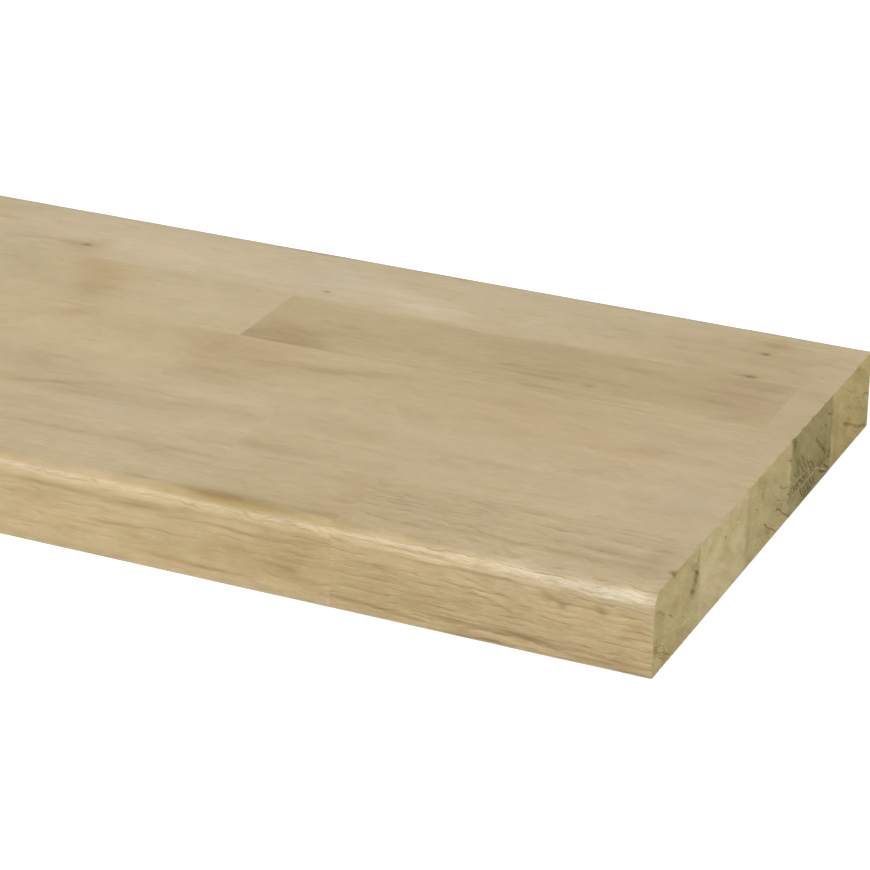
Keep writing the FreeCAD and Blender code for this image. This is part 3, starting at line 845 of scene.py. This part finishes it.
def spare_stave(name):
    """A stave outside the photo's view, drawn from a seed that its name gives."""
    draw = np.random.default_rng(sum(ord(letter) * place for place, letter in enumerate(name, start=1)))
    low, high = np.array(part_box(name)) / MM - (SAWN_END, FRONT, 0.0)
    marks = [spare_mark(draw, low, high) for _ in range(SPARE_MARKS)]
    knots = []
    if draw.random() < SPARE_KNOT_CHANCE:
        x = draw.uniform(low[0] + SPARE_KNOT_EDGE, high[0] - SPARE_KNOT_EDGE)
        across = draw.uniform(low[1] + SPARE_KNOT_EDGE, high[1] - SPARE_KNOT_EDGE)
        knots.append(Knot(x, across, draw.uniform(*SPARE_KNOT_RADIUS), SPARE_KNOT_DARK))
    return Stave(
        tone=SPARE_TONES[draw.integers(len(SPARE_TONES))],
        end_tone=SPARE_ENDS[draw.integers(len(SPARE_ENDS))],
        pith=(draw.uniform(*SPARE_PITH_ASIDE), draw.uniform(*SPARE_PITH_DOWN)),
        lean=draw.uniform(*SPARE_LEAN),
        lines=draw.uniform(*SPARE_FIGURE),
        pores=draw.uniform(*SPARE_FIGURE),
        marks=marks,
        knots=knots,
    )


def bell(knot, x, across, along_share, aside_share):
    """A soft hump over a knot, so many radii long and wide."""
    along = (x - knot.x) / (along_share * knot.radius)
    aside = (across - knot.across) / (aside_share * knot.radius)
    return np.exp(-along ** 2 - aside ** 2)


def wood_coordinates(points, across, stave, middle, seed):
    """Along the grain, out from the pith, and round it, in millimetres, with the wood's own bends."""
    x = points[:, 0]
    shift = BOW_SHIFT * noise(points / BOW_SIZE, seed) + SWAY_SHIFT * noise(points / SWAY_SIZE, seed + 1)
    y = points[:, 1] - middle[1] - stave.pith[0] + shift
    z = points[:, 2] - middle[2] - stave.pith[1] + shift + stave.lean * (x - middle[0])
    for knot in stave.knots:
        bend = bell(knot, x - SAWN_END, across, KNOT_BEND_ALONG, KNOT_BEND_ASIDE)
        y += np.sign(across - knot.across) * KNOT_BEND * knot.radius * bend
    return np.column_stack([x, np.hypot(y, z), np.arctan2(y, z) * np.hypot(*stave.pith)])


def tint(tone, shade, weight):
    """Tone moved towards shade's factors by each point's weight."""
    return tone * (1.0 + (np.array(shade) - 1.0) * weight[:, None])


def mark_weight(m, x, across, seed):
    """How strongly a mark shows at each point, with a waving middle line and a ragged edge."""
    level = np.full(len(x), float(seed))
    wave = LINE_WAVE_HEIGHT * noise(np.column_stack([x / LINE_WAVE_LENGTH, level, level]), seed)
    ragged = noise(np.column_stack([x / RAGGED_SIZE[0], across / RAGGED_SIZE[1], level]), seed)
    along = (x - m.x) / m.half_length + RAGGED_ALONG * ragged
    aside = (across - m.across - m.slope * (x - m.x) - wave) / m.half_width + RAGGED_ASIDE * ragged
    return m.strength * np.exp(-(along ** 2 + aside ** 2) ** m.crisp)


def face_tone(points, across, stave, seed):
    """The wood's slowly changing colour over its planed faces, with its streaks and knots, and the painted
    highlight and shade that some marks lay on the nosing and along the back arris.
    """
    tone = np.tile(linear(stave.tone), (len(points), 1))
    x = points[:, 0] - SAWN_END
    above = points[:, 2] > TOUCH
    for number, m in enumerate(stave.marks):
        tone = tint(tone, m.shade, above * mark_weight(m, x, across, seed + number))
    for number, knot in enumerate(stave.knots):
        ragged = CORE_RAGGED * noise(points / knot.radius, seed - number)
        along = (x - knot.x) / (CORE_ALONG * knot.radius)
        aside = (across - knot.across) / knot.radius
        core = np.exp(-np.maximum(along ** 2 + aside ** 2 + ragged, 0.0) ** 2)
        tone = tint(tone, BROWN, HALO_STRENGTH * above * bell(knot, x, across, HALO_ALONG, HALO_ASIDE))
        tone = tint(tone, UMBER, knot.dark * above * core)
    return tone


def smeared_tone(points):
    """The colours of the staves at the sawn end, which change raggedly at the glue lines."""
    ragged = SMEAR_RAGGED * noise(points / SMEAR_SIZE, SMEAR_SEED)
    tone = np.tile(linear(STAVES[SAWN_END_STAVES[0]].end_tone), (len(points), 1))
    for before, after in zip(SAWN_END_STAVES, SAWN_END_STAVES[1:]):
        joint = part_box(after)[0][1] / MM
        share = np.clip((points[:, 1] + ragged - joint) / SMEAR_WIDTH + 0.5, 0.0, 1.0)
        change = linear(STAVES[after].end_tone) - linear(STAVES[before].end_tone)
        tone += share[:, None] * change
    return tone


def end_tone(points, stave, at_sawn_end, seed):
    """The colour of a sawn end, with its stains."""
    tone = smeared_tone(points) if at_sawn_end else np.tile(linear(stave.end_tone), (len(points), 1))
    y, z = (points[:, 1:] - (FRONT, 0.0) - END_SHIFT).T
    for number, stain in enumerate(stave.stains):
        ragged = STAIN_RAGGED * noise(points / STAIN_RAGGED_SIZE, seed + number)
        reach = ((y - stain.y) / stain.half_y) ** 2 + ((z - stain.z) / stain.half_z) ** 2
        tone = tint(tone, stain.shade, stain.strength * np.exp(-np.maximum(reach + ragged, 0.0)))
    return tone


def torn_grain(points, stave):
    """How much of its grain the saw tore at each point of the end."""
    total = np.zeros(len(points))
    for torn in stave.torn:
        aside = (points[:, 1] - FRONT - torn.y) / torn.half_y
        up = (points[:, 2] - torn.z) / torn.half_z
        total += torn.strength * np.exp(-aside ** 2 - up ** 2)
    return total


def nearest_check(points, stave, seed):
    """Height of each point of the end above its nearest check, that check's half width and darkness."""
    wander = CHECK_WANDER * noise(points / CHECK_WANDER_SIZE, seed)
    place = points[:, 1:] - (FRONT, 0.0) - END_SHIFT + wander[:, None]
    nearest = np.full(len(points), np.inf)
    found = np.tile((CHECK_EDGE, 1.0, 0.0), (len(points), 1))
    for check in stave.checks:
        reach = CHECK_EDGE * check.width + STEP_ACROSS / stave.coarse
        runs = np.diff(check.path, axis=0)
        lengths = np.hypot(*runs.T)
        passed = 0.0
        for corner, run, length in zip(check.path, runs, lengths):
            offset = place - corner
            along = offset @ run / length
            above = (run[0] * offset[:, 1] - run[1] * offset[:, 0]) / length
            distance = np.hypot(above, along - np.clip(along, 0.0, length))
            from_tip = np.minimum(passed + along, lengths.sum() - passed - along)
            dark = check.dark * np.clip(from_tip / CHECK_TIP, 0.0, 1.0) * (distance < reach)
            closer = distance < nearest
            nearest = np.where(closer, distance, nearest)
            width = np.full(len(points), check.width)
            found[closer] = np.column_stack([above, width, dark])[closer]
            passed += length
    return found


def relief(points, normal, grain, stave, across, seed):
    """How deep a point of the surface lies under the true faces: rings, fibre, worn arrises and pits."""
    early = 0.5 + 0.5 * np.cos(2.0 * math.pi * grain[:, 1] / RING_WIDTH)
    fibre = 0.5 + 0.5 * noise(grain / FIBRE_SIZE, seed)
    depth = stave.lines * (RING_RELIEF * early ** RING_SHARPNESS + FIBRE_RELIEF * fibre)
    on_arris = (np.abs(normal) > FACING).sum(axis=1) > 1
    depth += on_arris * (ARRIS_WEAR + ARRIS_UNEVEN * noise(points / WEAR_SIZE, seed + 1))
    above = points[:, 2] > TOUCH
    for knot in stave.knots:
        pit = bell(knot, points[:, 0] - SAWN_END, across, PIT_ALONG, PIT_ASIDE)
        depth += PIT_DEPTH * knot.radius * above * pit
    return depth


def opened(flat, check):
    """How far a check opens the sawn end at each point."""
    above, width, dark = check.T
    gape = np.clip(dark, 0.0, None) * np.exp(-(above / (width + CHECK_EASE)) ** 2)
    inside = np.clip(np.minimum(flat[:, 2], THICKNESS - flat[:, 2]) / CHIP_REACH, 0.0, 1.0)
    return CHECK_DEPTH * gape * inside * (flat[:, 0] > SAWN_END - TOUCH)


def chipped(flat):
    """How much is chipped off the top arris of the sawn end at each point."""
    from_end = (SAWN_END - flat[:, 0]) / CHIP_REACH
    from_top = (THICKNESS - flat[:, 2]) / CHIP_REACH
    y = flat[:, 1] - FRONT
    bites = sum(chip.depth * np.exp(-((y - chip.y) / chip.width) ** 2) for chip in CHIPS)
    return bites * np.exp(-from_end ** 2 - from_top ** 2)


def worn(points, flat, normal, depth, check):
    """The points moved in from the true faces by a depth, and where checks and chips open the end."""
    moved = points - normal * depth[:, None]
    chips = chipped(flat)
    moved[:, 0] -= opened(flat, check) + chips * (normal[:, 0] > 0)
    moved[:, 2] -= chips * (normal[:, 2] > 0)
    return moved


def mesh_of(name, points, quads, at_ends):
    """A mesh of those quads, smooth but for its arrises, with its sawn ends in the second slot."""
    mesh = bpy.data.meshes.new(name)
    mesh.vertices.add(len(points))
    mesh.vertices.foreach_set("co", (points * MM).ravel())
    mesh.loops.add(quads.size)
    mesh.loops.foreach_set("vertex_index", quads.ravel())
    mesh.polygons.add(len(quads))
    mesh.polygons.foreach_set("loop_start", np.arange(len(quads)) * 4)
    mesh.polygons.foreach_set("material_index", at_ends.astype(np.int32))
    mesh.update(calc_edges=True)
    mesh.validate()
    mesh.shade_smooth()
    mesh.set_sharp_from_angle(angle=math.radians(SMOOTH_ANGLE))
    return mesh


def paint(mesh, name, domain, kind, values):
    """Stores values on the mesh as an attribute that the materials read."""
    attribute = mesh.attributes.new(name, kind, domain)
    key = {"FLOAT_COLOR": "color", "FLOAT_VECTOR": "vector", "FLOAT": "value"}[kind]
    attribute.data.foreach_set(key, np.ascontiguousarray(values, dtype=np.float32).ravel())


def bake_strips(low, high):
    """The sides that share a strip of the baked picture, with the strip's share of its height."""
    length, depth, thickness = high - low
    front_share = SEEN_SHARE if abs(low[1] - LOW[1]) < TOUCH else GLUED_SHARE
    back_share = SEEN_SHARE if abs(high[1] - HIGH[1]) < TOUCH else GLUED_SHARE
    heights = {
        ("top",): SEEN_SHARE * math.sqrt(length * depth),
        ("bottom",): UNDER_SHARE * math.sqrt(length * depth),
        ("left", "right"): SEEN_SHARE * math.sqrt(depth * thickness),
        ("front",): front_share * math.sqrt(length * thickness),
        ("back",): back_share * math.sqrt(length * thickness),
    }
    total = sum(heights.values())
    return {strip: height / total for strip, height in heights.items()}


def add_bake_map(mesh, flat, quads, sides, low, high):
    """A map for baking, in strips that are as long as the picture is wide."""
    share = (flat[quads] - low) / (high - low)
    places = np.zeros((len(quads), 4, 2))
    base = 0.0
    for strip, height in bake_strips(low, high).items():
        for column, side in enumerate(strip):
            on_side = sides == side
            along, up = BAKE_AXES[side]
            u = share[on_side, :, along]
            if len(strip) > 1:
                u = (column + BAKE_MARGIN + (1 - 2 * BAKE_MARGIN) * u) / len(strip)
            v = base + BAKE_MARGIN + (height - 2 * BAKE_MARGIN) * share[on_side, :, up]
            places[on_side] = np.stack([u, v], axis=-1)
        base += height
    layer = mesh.uv_layers.new(name="OFBake")
    layer.data.foreach_set("uv", places.astype(np.float32).ravel())


def figure_of(points, flat, across, stave):
    """How strong lines, pores and soft patches are at each point; on the end, how coarse its pores are."""
    x = points[:, 0] - SAWN_END
    figure = np.tile((stave.lines, stave.pores, 1.0), (len(points), 1))
    at_front = across < NOSE_RADIUS
    figure[at_front, 0] = np.interp(x[at_front], *zip(FRONT_LINES_FROM, FRONT_LINES_TO))
    figure[at_front, 1] = FRONT_PORES
    figure[at_front, 2] = np.interp(x[at_front], *zip(FRONT_SOFT_FROM, FRONT_SOFT_TO))
    figure[flat[:, 0] > SAWN_END - TOUCH, 1] = stave.coarse
    return figure


def build_mesh(name, number):
    """The detailed mesh of one stave, with all that its materials read."""
    low, high = np.array(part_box(name)) / MM
    in_view = name in STAVES
    stave = STAVES[name] if in_view else spare_stave(name)
    seed = SEEDS_PER_STAVE * number
    flat, quads, sides = shell(*lattice(low, high, stave, in_view))
    points = flat
    normal = outer_normals(flat, low, high)
    if abs(low[1] - FRONT) < TOUCH:
        points = round_nose(flat)
        normal = nose_normals(normal, points)
    across = across_top(points)
    grain = wood_coordinates(points, across, stave, (low + high) / 2, seed)
    check = nearest_check(points, stave, seed + CHECK_SEED)
    depth = relief(points, normal, grain, stave, across, seed + WEAR_SEED)
    at_ends = (sides == "right") | (sides == "left")
    mesh = mesh_of(name + "_oak", worn(points, flat, normal, depth, check), quads, at_ends)
    planed = face_tone(points, across, stave, seed + FACE_SEED)[quads.ravel()]
    sawn = end_tone(points, stave, name in SAWN_END_STAVES, seed + END_SEED)[quads.ravel()]
    tone = np.where(np.repeat(at_ends, 4)[:, None], sawn, planed)
    paint(mesh, "tone", "CORNER", "FLOAT_COLOR", np.column_stack([tone, np.ones(len(tone))]))
    paint(mesh, "grain", "POINT", "FLOAT_VECTOR", grain + np.multiply(GRAIN_SHIFT, number))
    paint(mesh, "figure", "POINT", "FLOAT_VECTOR", figure_of(points, flat, across, stave))
    paint(mesh, "torn", "POINT", "FLOAT", torn_grain(points, stave))
    paint(mesh, "check", "POINT", "FLOAT_VECTOR", check)
    add_bake_map(mesh, flat, quads, sides, low, high)
    return mesh


def build_stave(name, number, materials):
    """One stave with its detailed mesh, in place of its plain solid."""
    mesh = build_mesh(name, number)
    for material in materials:
        mesh.materials.append(material)
    piece = bpy.data.objects.new(name + "_oak", mesh)
    bpy.context.scene.collection.objects.link(piece)
    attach(piece, "root")
    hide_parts(name)


class Wiring:
    """Adds nodes to one material and links them."""

    def __init__(self, owner):
        self.tree = owner.node_tree

    def add(self, kind, inputs, **settings):
        node = self.tree.nodes.new(kind)
        for key, value in settings.items():
            setattr(node, key, value)
        for key, value in inputs.items():
            if isinstance(value, bpy.types.NodeSocket):
                self.tree.links.new(value, node.inputs[key])
            else:
                node.inputs[key].default_value = value
        return node

    def attribute(self, name, output="Vector"):
        return self.add("ShaderNodeAttribute", {}, attribute_name=name).outputs[output]

    def parts(self, vector):
        return self.add("ShaderNodeSeparateXYZ", {0: vector}).outputs

    def math(self, operation, a, b=0.0, c=0.0):
        return self.add("ShaderNodeMath", {0: a, 1: b, 2: c}, operation=operation).outputs[0]

    def vector(self, operation, a, b):
        """An operation on two vectors, or on a vector and the number that scales it."""
        second = "Scale" if operation == "SCALE" else 1
        return self.add("ShaderNodeVectorMath", {0: a, second: b}, operation=operation).outputs[0]

    def product(self, *values):
        total = values[0]
        for value in values[1:]:
            total = self.math("MULTIPLY", total, value)
        return total

    def scaled(self, vector, sizes):
        """The vector divided by sizes, so that a pattern has that size along each axis."""
        return self.vector("MULTIPLY", vector, tuple(1.0 / size for size in sizes))

    def turned(self, vector, angle, sizes):
        """The vector turned about X by so many degrees, then divided by sizes."""
        turn = (math.radians(angle), 0.0, 0.0)
        inputs = {"Vector": vector, "Rotation": turn, "Scale": sizes}
        return self.add("ShaderNodeMapping", inputs, vector_type="TEXTURE").outputs[0]

    def clouds(self, vector, detail, roughness=NOISE_ROUGHNESS):
        """The outputs of cloudy noise whose clouds have a size of about 1."""
        inputs = {"Vector": vector, "Scale": 1.0, "Detail": detail, "Roughness": roughness}
        return self.add("ShaderNodeTexNoise", inputs).outputs

    def noise(self, vector, sizes, detail=FINE):
        """Cloudy noise of 0 to 1 whose clouds have those sizes."""
        return self.clouds(self.scaled(vector, sizes), detail)[0]

    def swing(self, vector, sizes, detail=FINE):
        """The same noise from -0.5 to 0.5."""
        return self.math("SUBTRACT", self.noise(vector, sizes, detail), 0.5)

    def saw_swing(self, place, sizes, detail):
        """Noise from -0.5 to 0.5 along the saw's marks."""
        return self.math("SUBTRACT", self.clouds(self.turned(place, SAW_ANGLE, sizes), detail)[0], 0.5)

    def hues(self, vector, sizes, weights):
        """A small swing of each colour by itself, as factors about zero."""
        colour = self.clouds(self.scaled(vector, sizes), FINEST, HUE_ROUGHNESS)["Color"]
        return self.vector("MULTIPLY", self.vector("SUBTRACT", colour, (0.5, 0.5, 0.5)), weights)

    def spots(self, vector, sizes):
        """Distance from the nearest of scattered points, 0 to about 1, in cells of those sizes."""
        inputs = {"Vector": self.scaled(vector, sizes), "Scale": 1.0}
        return self.add("ShaderNodeTexVoronoi", inputs).outputs["Distance"]

    def starts(self, value, span, first=0.0, last=1.0):
        """A smooth step from first to last while value goes through the span."""
        inputs = {"Value": value, "From Min": span[0], "From Max": span[1], "To Min": first, "To Max": last}
        return self.add("ShaderNodeMapRange", inputs, interpolation_type="SMOOTHSTEP").outputs[0]

    def fades(self, value, span):
        """A smooth step from 1 to 0 while value goes through the span."""
        return self.starts(value, span, 1.0, 0.0)

    def weighted(self, patterns, weights, start=0.0):
        """Start plus the patterns that weights names, each times its weight."""
        total = start
        for name, weight in weights.items():
            total = self.math("MULTIPLY_ADD", patterns[name], weight, total)
        return total


def new_material(name):
    material = bpy.data.materials.new(name)
    material.use_nodes = True
    material.node_tree.nodes.clear()
    return material


def finish_material(wiring, finish, patterns, hues):
    """The tone darkened by the patterns and swung in hue, with a bump of their height in millimetres."""
    roughness = wiring.weighted(patterns, finish.roughness, finish.plain_roughness)
    height = wiring.weighted(patterns, finish.height)
    loss = wiring.vector("SCALE", finish.tints, wiring.weighted(patterns, finish.darkness))
    kept = wiring.vector("SUBTRACT", wiring.vector("ADD", hues, (1.0, 1.0, 1.0)), loss)
    colour = wiring.vector("MULTIPLY", wiring.attribute("tone", "Color"), kept)
    bump = wiring.add("ShaderNodeBump", {"Height": height, "Strength": 1.0, "Distance": MM})
    shader = wiring.add("ShaderNodeBsdfPrincipled", {
        "Base Color": colour, "Roughness": roughness, "Normal": bump.outputs[0],
        "IOR": WOOD_IOR, "Specular IOR Level": finish.gloss,
    })
    wiring.add("ShaderNodeOutputMaterial", {"Surface": shader.outputs[0]})


def wavy_grain(wiring):
    """The coordinates of the wood, with the small waves that its lines have."""
    grain = wiring.attribute("grain")
    soft = wiring.parts(wiring.attribute("figure"))[2]
    wave = wiring.product(wiring.swing(grain, WAVE_SIZE), WAVE_SHIFT, wiring.math("SQRT", soft))
    shift = wiring.add("ShaderNodeCombineXYZ", {1: wave, 2: wave}).outputs[0]
    return wiring.vector("ADD", grain, shift)


def ring_pattern(wiring, grain):
    """Masks for the porous early wood that starts each ring and the dense late wood that ends it."""
    drift = wiring.noise(grain, DRIFT_SIZE)
    turns = wiring.math("MULTIPLY", wiring.parts(grain)[1], 1.0 / RING_WIDTH)
    phase = wiring.math("FRACT", wiring.math("MULTIPLY_ADD", drift, DRIFT_RINGS, turns))
    early = wiring.math("ADD", wiring.fades(phase, EARLY_FADES), wiring.starts(phase, EARLY_STARTS))
    late = wiring.product(wiring.starts(phase, LATE_STARTS), wiring.fades(phase, LATE_FADES))
    shown = wiring.starts(wiring.noise(grain, SHOWN_SIZE), RINGS_SHOW)
    return wiring.product(early, shown), wiring.product(late, shown)


def planed_oak():
    """Planed oak: broken ring lines, open pores as dashes, thin rays and fine fibre along the grain."""
    material = new_material("planed_oak")
    wiring = Wiring(material)
    grain = wavy_grain(wiring)
    lines, pores, soft = wiring.parts(wiring.attribute("figure"))
    early, late = ring_pattern(wiring, grain)
    patterns = {
        "early": wiring.product(early, lines),
        "late": wiring.product(late, lines),
        "cloud": wiring.product(wiring.swing(grain, CLOUD_SIZE, FINEST), soft),
        "blotch": wiring.product(wiring.swing(grain, BLOTCH_SIZE, FINEST), soft),
        "flow": wiring.product(wiring.swing(grain, FLOW_SIZE, FINEST), soft),
        "streak": wiring.product(wiring.swing(grain, STREAK_SIZE, FINEST), lines),
        "thread": wiring.product(wiring.swing(grain, THREAD_SIZE), lines),
        "dash": wiring.product(wiring.starts(wiring.noise(grain, DASH_SIZE, PLAIN), DASH_SHOWS), pores),
        "ray": wiring.starts(wiring.noise(grain, RAY_SIZE, PLAIN), RAY_SHOWS),
    }
    finish_material(wiring, PLANED, patterns, wiring.hues(grain, HUE_SIZE, PLANED.hues))
    return material


def check_lines(wiring):
    """Masks for the dark line of a check, partly painted shade in its opening, and the raised edge above it,
    which is painted highlight.
    """
    above, width, dark = wiring.parts(wiring.attribute("check"))
    share = wiring.math("DIVIDE", above, width)
    line = wiring.product(wiring.fades(wiring.math("ABSOLUTE", share), LINE_FADES), dark)
    lip_highlight = wiring.product(wiring.starts(share, LIP_STARTS), wiring.fades(share, LIP_FADES), dark)
    return line, lip_highlight


def tear_lines(wiring, place):
    """Masks for the splits of torn grain, partly painted shade in them, and the pale band beside each,
    which is painted highlight.
    """
    torn = wiring.attribute("torn", "Fac")
    tear = wiring.saw_swing(place, TEAR_SIZE, PLAIN)
    split = wiring.product(wiring.fades(wiring.math("ABSOLUTE", tear), SPLIT_FADES), torn)
    burr_highlight = wiring.product(wiring.starts(tear, BURR_STARTS), wiring.fades(tear, BURR_FADES), torn)
    return split, burr_highlight


def sawn_oak():
    """Sawn end grain: marks of the saw over broken ring arcs, with pores, pale rays, tears and checks, and
    painted highlight and shade at the tears and checks.
    """
    material = new_material("sawn_oak_end")
    wiring = Wiring(material)
    grain = wavy_grain(wiring)
    coarse = wiring.parts(wiring.attribute("figure"))[1]
    place = wiring.add("ShaderNodeTexCoord", {}).outputs["Object"]
    early, late = ring_pattern(wiring, grain)
    split, burr_highlight = tear_lines(wiring, place)
    line, lip_highlight = check_lines(wiring)
    crowd = wiring.math("MULTIPLY_ADD", early, 1.0 - PORES_OUTSIDE, PORES_OUTSIDE)
    pore = wiring.fades(wiring.spots(grain, PORE_SIZE), PORE_FADES)
    ray = wiring.starts(wiring.noise(grain, END_RAY_SIZE, PLAIN), END_RAY_SHOWS)
    patterns = {
        "cloud": wiring.swing(grain, END_CLOUD_SIZE, FINEST),
        "speck": wiring.swing(grain, SPECK_SIZE, FINEST),
        "saw": wiring.saw_swing(place, SAW_SIZE, FINEST),
        "sweep": wiring.saw_swing(place, SWEEP_SIZE, FINE),
        "early": early, "late": late, "split": split, "burr_highlight": burr_highlight, "line": line, "lip_highlight": lip_highlight,
        "pore": wiring.product(pore, crowd, coarse),
        "ray": wiring.product(ray, coarse),
    }
    finish_material(wiring, SAWN, patterns, wiring.hues(place, END_HUE_SIZE, SAWN.hues))
    return material


def seen_rays(wiring):
    """1 for rays that come from the camera or a reflection, which see the white surroundings."""
    path = wiring.add("ShaderNodeLightPath", {}).outputs
    seen = wiring.math("MAXIMUM", path["Is Camera Ray"], path["Is Glossy Ray"])
    return wiring.math("MAXIMUM", seen, path["Is Transmission Ray"])


def build_floor():
    """A white floor that stays white to the camera and keeps a soft shadow."""
    half = FLOOR_SIZE / 2
    mesh = bpy.data.meshes.new("floor")
    corners = [(-half, -half, 0), (half, -half, 0), (half, half, 0), (-half, half, 0)]
    mesh.from_pydata(corners, [], [(0, 1, 2, 3)])
    floor = bpy.data.objects.new("floor", mesh)
    floor.location.z = CAD_BOX[0][2] - FLOOR_GAP
    bpy.context.scene.collection.objects.link(floor)
    material = new_material("white_floor")
    wiring = Wiring(material)
    matt = wiring.add("ShaderNodeBsdfDiffuse", {"Color": (FLOOR_WHITE, FLOOR_WHITE, FLOOR_WHITE, 1.0)})
    glow = wiring.add("ShaderNodeEmission", {"Color": (1.0, 1.0, 1.0, 1.0), "Strength": FLOOR_GLOW})
    both = wiring.add("ShaderNodeAddShader", {0: matt.outputs[0], 1: glow.outputs[0]})
    mixed = wiring.add("ShaderNodeMixShader", {0: seen_rays(wiring), 1: matt.outputs[0], 2: both.outputs[0]})
    wiring.add("ShaderNodeOutputMaterial", {"Surface": mixed.outputs[0]})
    mesh.materials.append(material)


def build_world():
    """Even light from all round, white where the camera or a reflection sees it."""
    world = bpy.data.worlds.new("studio")
    world.use_nodes = True
    world.node_tree.nodes.clear()
    wiring = Wiring(world)
    level = wiring.math("MAXIMUM", seen_rays(wiring), AMBIENT_LEVEL)
    background = wiring.add("ShaderNodeBackground", {"Color": (1.0, 1.0, 1.0, 1.0), "Strength": level})
    wiring.add("ShaderNodeOutputWorld", {"Surface": background.outputs[0]})
    bpy.context.scene.world = world


def build_lamp(name, towards, size, level):
    """A round soft light, aimed at the part of the board that the camera sees."""
    data = bpy.data.lights.new(name, "AREA")
    data.shape = "DISK"
    data.size = size
    data.energy = level * math.pi ** 2 * LAMP_DISTANCE ** 2
    lamp = bpy.data.objects.new(name, data)
    direction = Vector(towards).normalized()
    aim = Vector((SAWN_END - VIEW_REACH, 0.0, THICKNESS)) * MM
    lamp.location = aim + direction * LAMP_DISTANCE
    lamp.rotation_euler = direction.to_track_quat("Z", "Y").to_euler()
    bpy.context.scene.collection.objects.link(lamp)


def build_camera():
    data = bpy.data.cameras.new("camera")
    data.sensor_width = SENSOR_WIDTH
    data.lens = CAMERA_LENS
    camera = bpy.data.objects.new("camera", data)
    turn = Matrix.Rotation(math.radians(CAMERA_AZIMUTH), 4, "Z")
    tip = Matrix.Rotation(math.radians(90.0 - CAMERA_ELEVATION), 4, "X")
    roll = Matrix.Rotation(math.radians(CAMERA_ROLL), 4, "Z")
    corner = Vector((SAWN_END, FRONT, LOW[2]))
    place = Matrix.Translation((corner + Vector(CAMERA_FROM_CORNER)) * MM)
    camera.matrix_world = place @ turn @ tip @ roll
    bpy.context.scene.collection.objects.link(camera)
    bpy.context.scene.camera = camera


def main():
    materials = [planed_oak(), sawn_oak()]
    for number, name in enumerate(sorted(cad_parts)):
        build_stave(name, number, materials)
    build_floor()
    build_world()
    build_lamp("key", KEY_DIRECTION, KEY_SIZE, KEY_LEVEL)
    build_lamp("fill", FILL_DIRECTION, FILL_SIZE, FILL_LEVEL)
    build_camera()
    bpy.context.scene.view_settings.view_transform = "Standard"


main()
